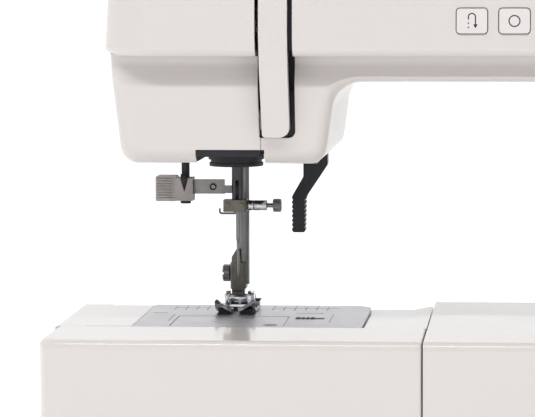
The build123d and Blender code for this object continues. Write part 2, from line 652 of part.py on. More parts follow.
def foot_holder():
    x0, x1 = NEEDLE_X - 4.8, NEEDLE_X + 2.2
    y0 = PRESSER_Y - 5.2
    holder = block(x0, x1, y0, PRESSER_Y + 4.6, BED_Z + 9.1, BED_Z + 21.2)
    holder = chamfer(holder.edges().filter_by(Axis.Z), 0.8)
    holder += prism_xz([(x0 + 0.6, BED_Z + 20), (x0 + 5, BED_Z + 20), (x0 + 4, BED_Z + 27.4),
                        (x0 + 2.8, BED_Z + 27.4), (x0 + 0.6, BED_Z + 23.8)],
                       y0 + 0.5, y0 + 3, 0.5)
    holder += block(NEEDLE_X - 4.2, NEEDLE_X + 1.5, y0 + 1, y0 + 6, BED_Z + 5.1, BED_Z + 9.6)
    holder += block(NEEDLE_X - 3.6, NEEDLE_X + 0.9, NEEDLE_Y + 7.6, y0 + 6, BED_Z + 4.3, BED_Z + 8.1)
    holder -= rod("z", BED_Z + 10.9, BED_Z + 30, PRESSER_X, PRESSER_Y, PRESSER_R)
    holder -= rod("x", x0 - 5, x0 + 3, PRESSER_Y, BED_Z + 16, 1.5 + RUN)
    return holder - rod("x", x0 - 5, x1 + 5, NEEDLE_Y + 9.6, BED_Z + 6.2, 0.9 + RUN)


def foot_screw():
    x0 = NEEDLE_X - 4.8
    screw = rod("x", x0 - 1, x0 + 2.2, PRESSER_Y, BED_Z + 16, 1.5)
    head = rod("x", x0 - 3.9, x0 - 0.3, PRESSER_Y, BED_Z + 16, 3.95)
    head = chamfer(head.edges().filter_by(GeomType.CIRCLE), 0.5)
    for k in range(18):
        angle = radians(360 / 18 * k)
        head -= rod("x", x0 - 5, x0, PRESSER_Y + 4.05 * cos(angle),
                    BED_Z + 16 + 4.05 * sin(angle), 0.35)
    head -= block(x0 - 5, x0 - 3.1, PRESSER_Y - 5, PRESSER_Y + 5, BED_Z + 15.5, BED_Z + 16.5)
    return screw + head


def presser_foot():
    """Clip-on zigzag foot: sole, two turned-up toes, side ears and the cross pin."""
    x0, x1 = NEEDLE_X - 9.3, NEEDLE_X + 8.6
    side = [
        (NEEDLE_Y + 9, BED_Z + 0.3), (NEEDLE_Y + 15, BED_Z + 1.1), (NEEDLE_Y + 15, BED_Z + 2.1),
        (NEEDLE_Y - 6, BED_Z + 2.1), (NEEDLE_Y - 12.5, BED_Z + 5.0),
        (NEEDLE_Y - 13.0, BED_Z + 3.9), (NEEDLE_Y - 7, BED_Z + 0.3),
    ]
    foot = prism_yz(side, x0, x1, [3, 0, 0, 6, 0, 0, 6])
    foot -= prism_xy(rectangle(NEEDLE_X - 5, NEEDLE_X + 5, NEEDLE_Y - 1.8, NEEDLE_Y + 1.8),
                     BED_Z - 1, BED_Z + 4, 1.6)
    foot -= prism_xy([(NEEDLE_X - 3.4, NEEDLE_Y - 14), (NEEDLE_X + 2.7, NEEDLE_Y - 14),
                      (NEEDLE_X + 0.9, NEEDLE_Y), (NEEDLE_X - 1.6, NEEDLE_Y)],
                     BED_Z - 1, BED_Z + 8)
    for ear in (NEEDLE_X - 6.2, NEEDLE_X + 4.0):
        foot += prism_yz([(NEEDLE_Y + 5, BED_Z + 1), (NEEDLE_Y + 13.5, BED_Z + 1),
                          (NEEDLE_Y + 12, BED_Z + 8), (NEEDLE_Y + 7, BED_Z + 8)],
                         ear, ear + 1.6, [0, 0, 2, 2])
    foot += rod("x", NEEDLE_X - 5.4, NEEDLE_X + 4.8, NEEDLE_Y + 9.6, BED_Z + 6.2, 0.9)
    return foot + block(NEEDLE_X + 5.4, NEEDLE_X + 9.4, NEEDLE_Y + 11.5, NEEDLE_Y + 16,
                        BED_Z + 5.2, BED_Z + 6.6)


def foot_lifter():
    points = [(27.4, 88), (38.6, 88), (38.6, 65), (28.6, 50.1), (28.2, 33.6), (22.1, 33.6),
              (22.1, 50.4), (27.4, 59.5)]
    shape = [(NEEDLE_X + x, BED_Z + z) for x, z in points]
    lever = prism_xz(shape, LIFTER_Y - 3.4, LIFTER_Y + 3.4, [3, 3, 3, 5, 1.2, 1.2, 3, 3])
    for k in range(7):
        z = BED_Z + 36 + 2.1 * k
        for x in (22.1, 28.3):
            lever -= rod("y", LIFTER_Y - 5, LIFTER_Y + 5, NEEDLE_X + x, z, 0.45)
    return lever - rod("x", LIFTER_X - 10, LIFTER_X + 10, LIFTER_Y, LIFTER_Z, 2.5 + RUN)


# ---------------------------------------------------------------- needle threader
def threader_rod():
    shaft = rod("z", BED_Z + 50, 240, THREADER_X, THREADER_Y, THREADER_R)
    return shaft + rod("z", BED_Z + 48.8, BED_Z + 50, THREADER_X, THREADER_Y, 2.4)


def threader_lever():
    knob = block(NEEDLE_X - 37.8, NEEDLE_X - 28.3, THREADER_Y - 4.5, THREADER_Y + 4.5,
                 BED_Z + 50, BED_Z + 61.5)
    knob = fillet(knob.edges().filter_by(Axis.Y), 0.9)
    for k in range(8):
        z = BED_Z + 51.5 + 1.25 * k
        knob -= block(NEEDLE_X - 37, NEEDLE_X - 29, THREADER_Y - 5, THREADER_Y - 4.1, z, z + 0.5)
    front = block(NEEDLE_X - 28.6, NEEDLE_X - 20.8, THREADER_Y - 4.6, THREADER_Y - 3.2,
                  BED_Z + 50.2, BED_Z + 60.5)
    front -= prism_xz([(NEEDLE_X - 26.9, BED_Z + 62), (NEEDLE_X - 22.5, BED_Z + 62),
                       (NEEDLE_X - 24.7, BED_Z + 54.2)], THREADER_Y - 5, THREADER_Y - 1.5)
    collar = front
    for low, high in ((50.2, 52.9), (59.9, 60.7)):
        collar += block(NEEDLE_X - 28.6, NEEDLE_X - 20.8, THREADER_Y - 3.4, THREADER_Y + 3.4,
                        BED_Z + low, BED_Z + high)
    return (knob + collar) - rod("z", 120, 140, THREADER_X, THREADER_Y, THREADER_R)


def threader_arm():
    hub = rod("z", BED_Z + 53.2, BED_Z + 59.8, THREADER_X, THREADER_Y, 2.9)
    arm = hub + block(THREADER_X, NEEDLE_X - 6.7, THREADER_Y - 0.9, THREADER_Y + 0.9,
                      BED_Z + 53.2, BED_Z + 59.8)
    arm += block(NEEDLE_X - 7, NEEDLE_X - 3.2, THREADER_Y - 0.7, THREADER_Y + 0.7,
                 BED_Z + 53.5, BED_Z + 57.0)
    arm += rod("y", THREADER_Y - 1.5, THREADER_Y, NEEDLE_X - 11.9, BED_Z + 56.4, 1.7)
    return arm - rod("z", 120, 140, THREADER_X, THREADER_Y, THREADER_R + RUN)


# ---------------------------------------------------------------- other small pieces
def needle_area_plate():
    plate = block(NEEDLE_X - 11.2, NEEDLE_X + 16.4, LOWER_FRONT + 0.6, SPLIT_Y + 4.6,
                  BED_Z + 74.6, BED_Z + 77.5)
    plate += block(NEEDLE_X - 18.7, NEEDLE_X - 11, LOWER_FRONT + 5.3, SPLIT_Y + 4.6,
                   BED_Z + 72.5, BED_Z + 74.7)
    plate += rod("z", BED_Z + 70, BED_Z + 75, NEEDLE_X, NEEDLE_Y, 10.8)
    for z, radius in ((70.0, 12.6), (68.5, 11.6), (67.0, 12.2)):
        plate += rod("z", BED_Z + z - 0.4, BED_Z + z + 1.1, NEEDLE_X - 0.6, NEEDLE_Y, radius)
    plate -= block(NEEDLE_X - 7.5, NEEDLE_X + 7.5, NEEDLE_Y - 4, NEEDLE_Y + 4, 140, 160)
    return plate - rod("z", 140, 160, PRESSER_X, PRESSER_Y, PRESSER_R + 0.4)


def take_up_lever():
    tip_y, tip_z = TAKE_UP_Y - 20, TAKE_UP_Z + 38
    x0 = NEEDLE_X + 15.1
    lever = prism_yz([(TAKE_UP_Y - 3.5, TAKE_UP_Z), (TAKE_UP_Y + 3.5, TAKE_UP_Z),
                      (tip_y + 2.5, tip_z), (tip_y - 2.5, tip_z)], x0, x0 + 1.1)
    lever += rod("x", x0, x0 + 1.1, TAKE_UP_Y, TAKE_UP_Z, 5)
    lever += rod("x", x0, x0 + 1.1, tip_y, tip_z, 3.4)
    lever -= rod("x", x0 - 1, x0 + 3, tip_y, tip_z, 1.2)
    return lever - rod("x", x0 - 1, x0 + 3, TAKE_UP_Y, TAKE_UP_Z, 2 + RUN)


def tension_dial():
    y = front_y(TENSION_Z) + TENSION_R - 1.6
    wheel = rod("x", TENSION_X - 3.8, TENSION_X + 3.8, y, TENSION_Z, TENSION_R)
    for k in range(40):
        angle = radians(9 * k)
        wheel -= rod("x", TENSION_X - 5, TENSION_X + 5, y + (TENSION_R + 0.3) * cos(angle),
                     TENSION_Z + (TENSION_R + 0.3) * sin(angle), 0.7)
    return wheel + rod("x", TENSION_X - 9, TENSION_X + 9, y, TENSION_Z, 3)


def button(index, proud):
    middle = BUTTON_X + index * BUTTON_PITCH
    cap = button_prism(middle, 0, UPPER_FRONT - 5, -49) & proud
    flange = button_prism(middle, 1.2, -49.9, -47.6)
    return cap + flange


def speed_slider():
    y = front_y(SLIDER_Z)
    knob = block(SLIDER_X - 5, SLIDER_X + 5, y - 3.4, y - 0.4, SLIDER_Z - 4.5, SLIDER_Z + 4.5)
    knob = fillet(knob.edges().filter_by(Axis.Y), 2)
    for k in range(3):
        x = SLIDER_X - 2.6 + 2.2 * k
        knob -= block(x, x + 0.8, y - 4, y - 2.8, SLIDER_Z - 3.4, SLIDER_Z + 3.4)
    return knob + block(SLIDER_X - 2.5, SLIDER_X + 2.5, y - 0.5, -46, SLIDER_Z - 1.6, SLIDER_Z + 1.6)


def pattern_dial():
    y = front_y(DIAL_Z)
    dial = rod("y", y - 10, y - 1.6, DIAL_X, DIAL_Z, 15)
    dial = fillet(dial.edges().sort_by(Axis.Y)[0], 2)
    for k in range(20):
        angle = radians(18 * k)
        dial -= rod("y", y - 12, y, DIAL_X + 15.8 * cos(angle), DIAL_Z + 15.8 * sin(angle), 1.5)
    return dial + rod("y", y - 2, -46, DIAL_X, DIAL_Z, 4)


def display_window(proud, deep):
    x0, x1, z0, z1 = DISPLAY
    inside = prism_xz(rectangle(x0 + 0.2, x1 - 0.2, z0 + 0.2, z1 - 0.2), UPPER_FRONT, -46, 2.8)
    return (proud & inside) - deep


def spool_pin():
    bracket = block(42, 50, 2, 18, 261.5, 284)
    bracket = fillet(bracket.edges().filter_by(Axis.X), 3)
    pin = rod("x", -44, 43, 10, 276, 2.8)
    return bracket + chamfer(pin.edges().sort_by(Axis.X)[0], 1)


def winder_spindle():
    spindle = rod("z", 246, 285, 140, -20, 3)
    spindle = chamfer(spindle.edges().sort_by(Axis.Z)[-1], 0.8)
    return spindle + rod("z", 265, 267, 140, -20, 10) + rod("z", 248, 252, 140, -20, 12)


def head_lamp():
    x0, x1, y0, y1 = LAMP
    return block(x0 + 0.2, x1 - 0.2, y0 + 0.2, y1 - 0.2, HEAD_Z - 0.4, HEAD_Z + 2.6)


def casing_screws():
    screws = Part()
    for x, z in SCREWS:
        head = rod("y", LOWER_REAR, LOWER_REAR + 1.6, x, z, 3.4)
        head = fillet(head.edges().sort_by(Axis.Y)[-1], 0.9)
        head -= block(x - 2.4, x + 2.4, LOWER_REAR + 0.8, LOWER_REAR + 3, z - 0.4, z + 0.4)
        head -= block(x - 0.4, x + 0.4, LOWER_REAR + 0.8, LOWER_REAR + 3, z - 2.4, z + 2.4)
        screws += head + rod("y", LOWER_REAR - 9, LOWER_REAR + 0.1, x, z, 1.5)
    return screws


def pivot_pins():
    pins = Part()
    for x in (-120.0, 120.0):
        pins += rod("x", x - 15.9, x + 15.9, LID_HINGE_Y, LID_HINGE_Z, 1.5)
    for x in (-60.0, 60.0):
        middle = HANDLE_MID_X + x
        pins += rod("x", middle - 8.2, middle + 8.2, HANDLE_Y, HANDLE_Z, 2.5)
    pins += rod("x", LIFTER_X - 9, LIFTER_X + 9, LIFTER_Y, LIFTER_Z, 2.5)
    return pins + rod("x", NEEDLE_X + 10, NEEDLE_X + 33, TAKE_UP_Y, TAKE_UP_Z, 2)


def carry_handle():
    half = 60.0
    grip = rod("x", HANDLE_MID_X - half - 3.9, HANDLE_MID_X + half + 3.9, HANDLE_Y,
               HANDLE_Z - 42, 5)
    for side in (-1, 1):
        x = HANDLE_MID_X + side * half
        leg = block(x - 3.9, x + 3.9, HANDLE_Y - 4, HANDLE_Y + 4, HANDLE_Z - 42, HANDLE_Z)
        grip += leg + rod("x", x - 3.9, x + 3.9, HANDLE_Y, HANDLE_Z, 4.6)
        grip -= rod("x", x - 6, x + 6, HANDLE_Y, HANDLE_Z, 2.5 + RUN)
    for k in range(22):
        x = HANDLE_MID_X - 44 + 4 * k
        grip -= rod("x", x, x + 1.4, HANDLE_Y, HANDLE_Z - 42, 6) - rod("x", x - 1, x + 3, HANDLE_Y,
                                                                      HANDLE_Z - 42, 4.4)
    return grip


def power_switch():
    rocker = prism_xy([(167, 20.8), (167, 39.2), (178, 39.2), (176.4, 30), (178, 20.8)],
                      33.2, 46.8, [1, 1, 1, 40, 1])
    tilted = Pos(171, 30, 0) * (Rotation(0, 0, -8) * (Pos(-171, -30, 0) * rocker))
    return tilted + rod("z", 31, 49, 171, 30, 1.5)


def power_socket():
    body = block(158, BODY_RIGHT + 0.4, -28, 0, 30, 50)
    body -= prism_yz(rectangle(-25.5, -2.5, 32, 48), 161, RIGHT, 3)
    for y in (-18.0, -10.0):
        body += rod("x", 160, 172, y, 36.5, 1.2)
    return body


# ---------------------------------------------------------------- extension table
TABLE_X0 = LEFT
TABLE_X1 = BASE_LEFT - 0.5
HINGE_EARS = (LEFT + 10.0, TABLE_X1 - 10.0)


def accessory_lid():
    def volume(inset, y1, z0):
        i = inset
        points = [(TABLE_X0 + i, y1), (TABLE_X0 + i, FRONT + i), (TABLE_X1 - i, FRONT + i),
                  (TABLE_X1 - i, y1)]
        return prism_xy(points, z0, BED_Z - i, [0, 12 - i, 0, 0])

    back = ARM_FRONT - GAP
    outer = volume(0, back, BASE_BOTTOM)
    top = outer.faces().sort_by(Axis.Z)[-1].edges().sort_by(Axis.Y)[:-1]
    rim = top.sort_by(Axis.X)[:-1]
    outer = fillet(rim, EDGE_R)
    end = outer.faces().sort_by(Axis.X)[-1].edges().sort_by(Axis.Z)[1:]
    outer = fillet(end.sort_by(Axis.Y)[:-1], 1.6)
    lid = outer - volume(WALL, back + 5, BASE_BOTTOM - 1)
    for x in HINGE_EARS:
        lid += rod("x", x - 2, x + 2, TABLE_HINGE_Y, TABLE_HINGE_Z, 3.6)
        lid += block(x - 2, x + 2, FRONT + 1, TABLE_HINGE_Y, TABLE_HINGE_Z - 2, TABLE_HINGE_Z + 2)
        lid -= rod("x", x - 3, x + 3, TABLE_HINGE_Y, TABLE_HINGE_Z, 1.5 + RUN)
    return lid


def table_body():
    x0, x1 = LEFT + 5, TABLE_X1 - 4
    tray = block(x0, x1, -73.6, -41, 8, 66) - block(x0 + 2, x1 - 2, -71.6, -43, 10, 70)
    end = prism_xy([(LEFT + 0.3, ARM_FRONT + 0.2), (ARM_LEFT - 0.4, ARM_FRONT + 0.2),
                    (ARM_LEFT - 0.4, ARM_BACK), (LEFT + 0.3, ARM_BACK)], 4,
                   BED_Z - ARM_LIP - GAP, [0, 0, 0.5, 4])
    bridge = block(LEFT + 3.2, ARM_LEFT - 0.4, -60, ARM_FRONT + 1, 8, 60)
    tray += end + bridge
    for x in HINGE_EARS:
        side = 1 if x < -100 else -1
        middle = x + side * 4.3
        tray += rod("x", middle - 2, middle + 2, TABLE_HINGE_Y, TABLE_HINGE_Z, 3.6)
        tray += block(middle - 2, middle + 2, TABLE_HINGE_Y, -73, TABLE_HINGE_Z - 1,
                      TABLE_HINGE_Z + 2.5)
        tray += rod("x", x - 2.4, x + 2.4, TABLE_HINGE_Y, TABLE_HINGE_Z, 1.5)
    for x in (x0 + 12, x1 - 12):
        for y in (-66.0, -50.0):
            tray += rod("z", 0, 9, x, y, 5)
    for y in (-28.0, 30.0):
        tray += rod("z", 0, 5, LEFT + 3, y, 2.4)
    return tray


# ---------------------------------------------------------------- build every piece
def build():
    shell = body_shell()
    body = upper_solid(0)
    save("front_cover", front_cover(shell))
    save("face_cover", face_cover(shell))
    save("rear_cover", rear_cover(shell))
    save("top_lid", top_lid(shell))
    proud = Pos(0, -0.6, 0) * body
    for index, name in enumerate(BUTTON_NAMES):
        save(name, button(index, proud))
    save("display_window", display_window(Pos(0, 0.3, 0) * body, Pos(0, 2.2, 0) * body))
    for piece in (top_deck, thread_strip, base_housing, bottom_plate, rubber_feet, free_arm_shell,
                  needle_plate, hook_cover, cover_release, feed_dog, bobbin_holder, bobbin,
                  rotating_hook, arm_shaft, needle_crank, handwheel, lower_shaft, drive_belts,
                  motor, motor_pulley, upper_frame, bed_frame, control_board, needle_bar_frame,
                  needle_bar, needle_clamp, needle, needle_clamp_screw, presser_bar, foot_holder,
                  foot_screw, presser_foot, foot_lifter, threader_rod, threader_lever,
                  threader_arm, needle_area_plate, take_up_lever, tension_dial, speed_slider,
                  pattern_dial, spool_pin, winder_spindle, head_lamp, casing_screws, pivot_pins,
                  carry_handle, power_switch, power_socket, accessory_lid, table_body):
        save(piece.__name__, piece())


build()
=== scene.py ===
"""Looks of the sewing machine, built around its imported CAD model. Metres, same frame as the CAD."""
import json
import math

import bmesh
import bpy
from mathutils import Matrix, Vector


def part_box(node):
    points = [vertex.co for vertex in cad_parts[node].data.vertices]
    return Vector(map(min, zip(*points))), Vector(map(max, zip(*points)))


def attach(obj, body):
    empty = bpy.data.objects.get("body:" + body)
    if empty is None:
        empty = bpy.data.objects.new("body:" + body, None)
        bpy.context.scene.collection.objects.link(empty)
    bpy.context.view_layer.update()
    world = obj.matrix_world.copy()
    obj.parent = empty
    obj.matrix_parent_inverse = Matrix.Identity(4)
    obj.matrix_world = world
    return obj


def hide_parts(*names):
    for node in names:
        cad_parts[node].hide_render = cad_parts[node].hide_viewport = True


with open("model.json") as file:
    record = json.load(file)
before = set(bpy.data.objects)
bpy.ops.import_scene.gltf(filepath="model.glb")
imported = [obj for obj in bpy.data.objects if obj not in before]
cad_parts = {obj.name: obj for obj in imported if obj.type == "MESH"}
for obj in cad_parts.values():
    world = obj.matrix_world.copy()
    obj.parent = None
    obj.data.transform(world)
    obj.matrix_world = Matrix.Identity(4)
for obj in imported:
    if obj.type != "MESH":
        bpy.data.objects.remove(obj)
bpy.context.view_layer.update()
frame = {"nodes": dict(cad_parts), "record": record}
nodes = frame["nodes"]
MM = 0.001
PLASTIC_IOR = 1.49
PLASTIC_SHINE = 0.3           # specular level of the opaque plastics


# ---------------------------------------------------------------- shader building blocks
class Shader:
    """One procedural material with a Principled surface."""

    def __init__(self, name):
        self.material = bpy.data.materials.new(name)
        self.material.use_nodes = True
        self.tree = self.material.node_tree
        self.tree.nodes.clear()
        output = self.tree.nodes.new("ShaderNodeOutputMaterial")
        self.surface = self.tree.nodes.new("ShaderNodeBsdfPrincipled")
        self.tree.links.new(self.surface.outputs["BSDF"], output.inputs["Surface"])
        self.place = self.node("TexCoord").outputs["Object"]

    def node(self, kind, settings=None, **inputs):
        made = self.tree.nodes.new("ShaderNode" + kind)
        for key, value in (settings or {}).items():
            setattr(made, key, value)
        for key, value in inputs.items():
            self.put(made.inputs[key.replace("_", " ")], value)
        return made

    def put(self, socket, value):
        if isinstance(value, bpy.types.NodeSocket):
            self.tree.links.new(value, socket)
        else:
            socket.default_value = value

    def set(self, **inputs):
        for key, value in inputs.items():
            self.put(self.surface.inputs[key.replace("_", " ")], value)

    def stretched(self, x, y, z):
        return self.node("Mapping", Vector=self.place, Scale=(x, y, z)).outputs["Vector"]

    def noise(self, scale, detail=3.0, rough=0.5, vector=None):
        made = self.node("TexNoise", Vector=vector or self.place, Scale=scale, Detail=detail,
                         Roughness=rough)
        return made.outputs["Fac"]

    def spread(self, value, low, high, start=0.3, end=0.7):
        """Turns a value from start to end into one from low to high."""
        made = self.node("MapRange", Value=value, From_Min=start, From_Max=end, To_Min=low, To_Max=high)
        return made.outputs["Result"]

    def math(self, operation, first, second):
        made = self.node("Math", {"operation": operation})
        self.put(made.inputs[0], first)
        self.put(made.inputs[1], second)
        return made.outputs[0]

    def mix(self, factor, first, second):
        made = self.node("Mix", {"data_type": "RGBA"}, Factor=factor, A=colour(first), B=colour(second))
        return made.outputs["Result"]

    def bump(self, height, distance, strength=1.0, normal=None):
        made = self.node("Bump", Height=height, Distance=distance, Strength=strength)
        if normal is not None:
            self.put(made.inputs["Normal"], normal)
        return made.outputs["Normal"]

    def softened(self, radius):
        """Normal that rounds sharp edges slightly, as a moulding's edges are."""
        return self.node("Bevel", {"samples": 4}, Radius=radius).outputs["Normal"]

    # Ambient occlusion, with which moulded_plastic paints shade into seams and recesses.
    def occlusion(self, distance):
        return self.node("AmbientOcclusion", {"samples": 6}, Distance=distance).outputs["AO"]


def colour(value):
    if isinstance(value, bpy.types.NodeSocket) or len(value) == 4:
        return value
    return (value[0], value[1], value[2], 1.0)


def shade(value, factor):
    return tuple(channel * factor for channel in value[:3])


# ---------------------------------------------------------------- materials
def moulded_plastic(name, tint, gloss, grain, coat=0.0, seam_shade=0.9):
    """Injection-moulded plastic: faint flow marks, fine orange peel, and painted shade darkening the seams
    and recesses.
    """
    s = Shader(name)
    flow = s.spread(s.noise(scale=7.0, detail=3.0, rough=0.45), 0.0, 1.0)
    base = s.mix(flow, tint, shade(tint, 0.987))
    # painted shade: the colour darkens where ambient occlusion finds seams and recesses
    occlusion_shade_mask = s.spread(s.occlusion(2.5 * MM), 0.0, 1.0, start=0.25, end=0.8)
    s.set(Base_Color=s.mix(occlusion_shade_mask, shade(tint, seam_shade), base))
    smear = s.noise(scale=22.0, detail=4.0, rough=0.55)
    s.set(Roughness=s.spread(smear, gloss - 0.03, gloss + 0.04))
    peel = s.noise(scale=420.0, detail=2.0)
    s.set(Normal=s.bump(peel, grain * MM, strength=0.5, normal=s.softened(0.3 * MM)))
    s.set(Coat_Weight=coat, Coat_Roughness=0.07)
    s.set(Specular_IOR_Level=PLASTIC_SHINE, IOR=PLASTIC_IOR)
    return s.material


def textured_plastic(name, tint, gloss, scale=1500.0, depth=0.02):
    """Spark-eroded mould texture, a little lighter in worn patches."""
    s = Shader(name)
    s.set(Specular_IOR_Level=PLASTIC_SHINE)
    worn = s.spread(s.noise(scale=60.0, detail=4.0, rough=0.6), 0.0, 1.0, start=0.4, end=0.75)
    s.set(Base_Color=s.mix(worn, tint, shade(tint, 1.35)))
    s.set(Roughness=s.spread(s.noise(scale=40.0, detail=4.0), gloss - 0.1, gloss + 0.12))
    grain = s.node("TexVoronoi", Vector=s.place, Scale=scale).outputs["Distance"]
    s.set(Normal=s.bump(grain, depth * MM, strength=0.7))
    return s.material


def steel(name, tint, rough, axis, depth, marks):
    """Ground or brushed steel: fine lines along one axis, and stains that darken it by marks."""
    s = Shader(name + "_steel")
    along_line, across_line = 60.0, 6000.0
    stretch = [along_line if letter == axis else across_line for letter in "xyz"]
    lines = s.noise(scale=1.0, detail=2.0, rough=0.6, vector=s.stretched(*stretch))
    stains = s.spread(s.noise(scale=90.0, detail=5.0, rough=0.65), 0.0, 1.0)
    s.set(Base_Color=s.mix(stains, tint, shade(tint, 1.0 - marks)), Metallic=1.0)
    ground = s.spread(lines, rough - 0.07, rough + 0.09)
    s.set(Roughness=s.math("ADD", ground, s.math("MULTIPLY", stains, 0.07)))
    s.set(Normal=s.bump(lines, depth * MM, strength=0.5))
    return s.material


def chrome(name, tint=(0.80, 0.80, 0.82)):
    """Bright plating with finger smudges and hairline scratches."""
    s = Shader(name)
    smudge = s.spread(s.noise(scale=220.0, detail=5.0, rough=0.7), 0.0, 1.0, start=0.45, end=0.7)
    s.set(Base_Color=s.mix(smudge, tint, shade(tint, 0.86)), Metallic=1.0)
    hair = s.noise(scale=1.0, detail=1.0, rough=0.5, vector=s.stretched(400.0, 9000.0, 9000.0))
    s.set(Roughness=s.spread(smudge, 0.06, 0.17, start=0.0, end=1.0))
    s.set(Normal=s.bump(hair, 0.002 * MM, strength=0.4))
    return s.material


def cast_metal(name, tint):
    """Die-cast aluminium: cloudy flow and a rough skin."""
    s = Shader(name)
    flow = s.noise(scale=130.0, detail=6.0, rough=0.7)
    s.set(Base_Color=s.mix(s.spread(flow, 0.0, 1.0), tint, shade(tint, 0.75)), Metallic=1.0)
    s.set(Roughness=s.spread(flow, 0.42, 0.6))
    s.set(Normal=s.bump(s.noise(scale=900.0, detail=4.0), 0.08 * MM))
    return s.material


def rubber(name, tint):
    """Dull rubber with dust on it."""
    s = Shader(name)
    dust = s.spread(s.noise(scale=160.0, detail=5.0, rough=0.7), 0.0, 1.0, start=0.45, end=0.8)
    s.set(Base_Color=s.mix(dust, tint, shade(tint, 2.4)))
    s.set(Roughness=s.spread(dust, 0.6, 0.85, start=0.0, end=1.0))
    s.set(Normal=s.bump(s.noise(scale=1800.0, detail=2.0), 0.05 * MM))
    return s.material


def clear_plastic(name, tint, rough):
    """Transparent moulding with scuffed patches."""
    s = Shader(name)
    scuff = s.spread(s.noise(scale=300.0, detail=5.0, rough=0.7), 0.0, 1.0, start=0.5, end=0.75)
    s.set(Base_Color=s.mix(scuff, tint, shade(tint, 0.96)))
    s.set(Roughness=s.spread(scuff, rough, rough + 0.14, start=0.0, end=1.0))
    s.set(Normal=s.bump(s.noise(scale=500.0, detail=3.0), 0.01 * MM))
    s.set(Transmission_Weight=0.92, IOR=PLASTIC_IOR)
    return s.material


def circuit_board(name):
    """Green board with lighter tracks."""
    s = Shader(name)
    grid = s.node("TexBrick", Vector=s.stretched(220.0, 220.0, 220.0), Scale=1.0).outputs["Fac"]
    track = s.spread(grid, 0.0, 1.0, start=0.0, end=1.0)
    s.set(Base_Color=s.mix(track, (0.01, 0.09, 0.035), (0.05, 0.22, 0.09)))
    s.set(Roughness=s.spread(s.noise(scale=80.0), 0.3, 0.45))
    s.set(Normal=s.bump(s.noise(scale=700.0), 0.03 * MM))
    return s.material


def display_lens(name):
    """Smoked lens over a segment display, with faint rows behind it."""
    s = Shader(name)
    cells = s.node("TexChecker", Vector=s.place, Scale=900.0).outputs["Fac"]
    s.set(Base_Color=s.mix(s.math("MULTIPLY", cells, 0.3), (0.16, 0.19, 0.16), (0.10, 0.13, 0.11)))
    s.set(Roughness=s.spread(s.noise(scale=60.0, detail=5.0), 0.08, 0.2))
    s.set(Normal=s.bump(s.noise(scale=400.0), 0.004 * MM))
    s.set(Coat_Weight=0.6)
    return s.material


WHITE = (0.655, 0.620, 0.597)
TABLE_WHITE = (0.652, 0.618, 0.596)
KEY_WHITE = (0.69, 0.665, 0.65)


def glossy_table(name):
    return moulded_plastic(name, TABLE_WHITE, gloss=0.20, grain=0.002, coat=0.45)


look = {
    "white_casing": moulded_plastic("casing_white", WHITE, gloss=0.30, grain=0.004, coat=0.4),
    "white_table": glossy_table("table_white"),
    "key_plastic": moulded_plastic("key_white", KEY_WHITE, gloss=0.35, grain=0.006, seam_shade=0.8),
    "black_plastic": textured_plastic("black_moulding", (0.018, 0.017, 0.022), gloss=0.42),
    "grey_plastic": textured_plastic("grey_moulding", (0.35, 0.325, 0.315), gloss=0.5),
    "dark_grey_plastic": textured_plastic("dark_moulding", (0.05, 0.05, 0.055), gloss=0.5),
    "satin_steel": steel("plate", (0.60, 0.59, 0.61), rough=0.36, axis="x", depth=0.002, marks=0.06),
    "needle_steel": steel("needle", (0.24, 0.24, 0.24), rough=0.3, axis="z", depth=0.001, marks=0.1),
    "bar_steel": steel("bar", (0.20, 0.20, 0.205), rough=0.34, axis="z", depth=0.002, marks=0.15),
    "holder_steel": steel("sintered", (0.19, 0.18, 0.155), rough=0.42, axis="z", depth=0.01, marks=0.3),
    "chrome_plate": chrome("chrome_plate"),
    "cast_aluminium": cast_metal("cast_aluminium", (0.55, 0.55, 0.56)),
    "motor_steel": textured_plastic("motor_paint", (0.06, 0.06, 0.065), gloss=0.4),
    "rubber": rubber("foot_rubber", (0.025, 0.025, 0.027)),
    "belt_rubber": rubber("belt_rubber", (0.018, 0.018, 0.018)),
    "clear_plastic": clear_plastic("clear_moulding", (0.93, 0.94, 0.95), rough=0.06),
    "display_lens": display_lens("display_lens"),
    "lamp_lens": clear_plastic("lamp_lens", (0.97, 0.97, 0.94), rough=0.3),
    "circuit_board": circuit_board("circuit_board"),
}
# nodes whose finish differs from the rest of their material slot
own_look = {
    "needle_bar": steel("needle_bar", (0.075, 0.075, 0.08), rough=0.26, axis="z", depth=0.001, marks=0.2),
    "threader_arm": steel("threader", (0.26, 0.255, 0.245), rough=0.34, axis="x", depth=0.002, marks=0.2),
    "needle_clamp_screw": steel("knurl", (0.27, 0.27, 0.265), rough=0.3, axis="x", depth=0.004, marks=0.3),
    "foot_screw": steel("thumb_screw", (0.34, 0.34, 0.335), rough=0.26, axis="x", depth=0.004, marks=0.3),
    "base_housing": glossy_table("base_white"),
}
for entry in frame["record"]["subparts"]:
    mesh = nodes[entry["node"]].data
    mesh.materials.clear()
    mesh.materials.append(own_look.get(entry["node"], look[entry["material_slot"]]))

ink = textured_plastic("printed_ink", (0.035, 0.033, 0.036), gloss=0.5, scale=2500.0, depth=0.004)
mark_ink = textured_plastic("engraved_mark", (0.16, 0.155, 0.16), gloss=0.5, scale=2500.0, depth=0.004)
foot_chrome = chrome("foot_chrome", (0.74, 0.76, 0.79))
sole_chrome = chrome("sole_chrome", (0.27, 0.285, 0.305))
sleeve_steel = steel("sleeve", (0.62, 0.62, 0.63), rough=0.16, axis="x", depth=0.001, marks=0.08)
# painted shade: dark grey for the strokes that stand for the shaded grooves between the knob's ridges
ridge_shade_grey = textured_plastic("ridge_shade_grey", (0.22, 0.20, 0.195), gloss=0.5)


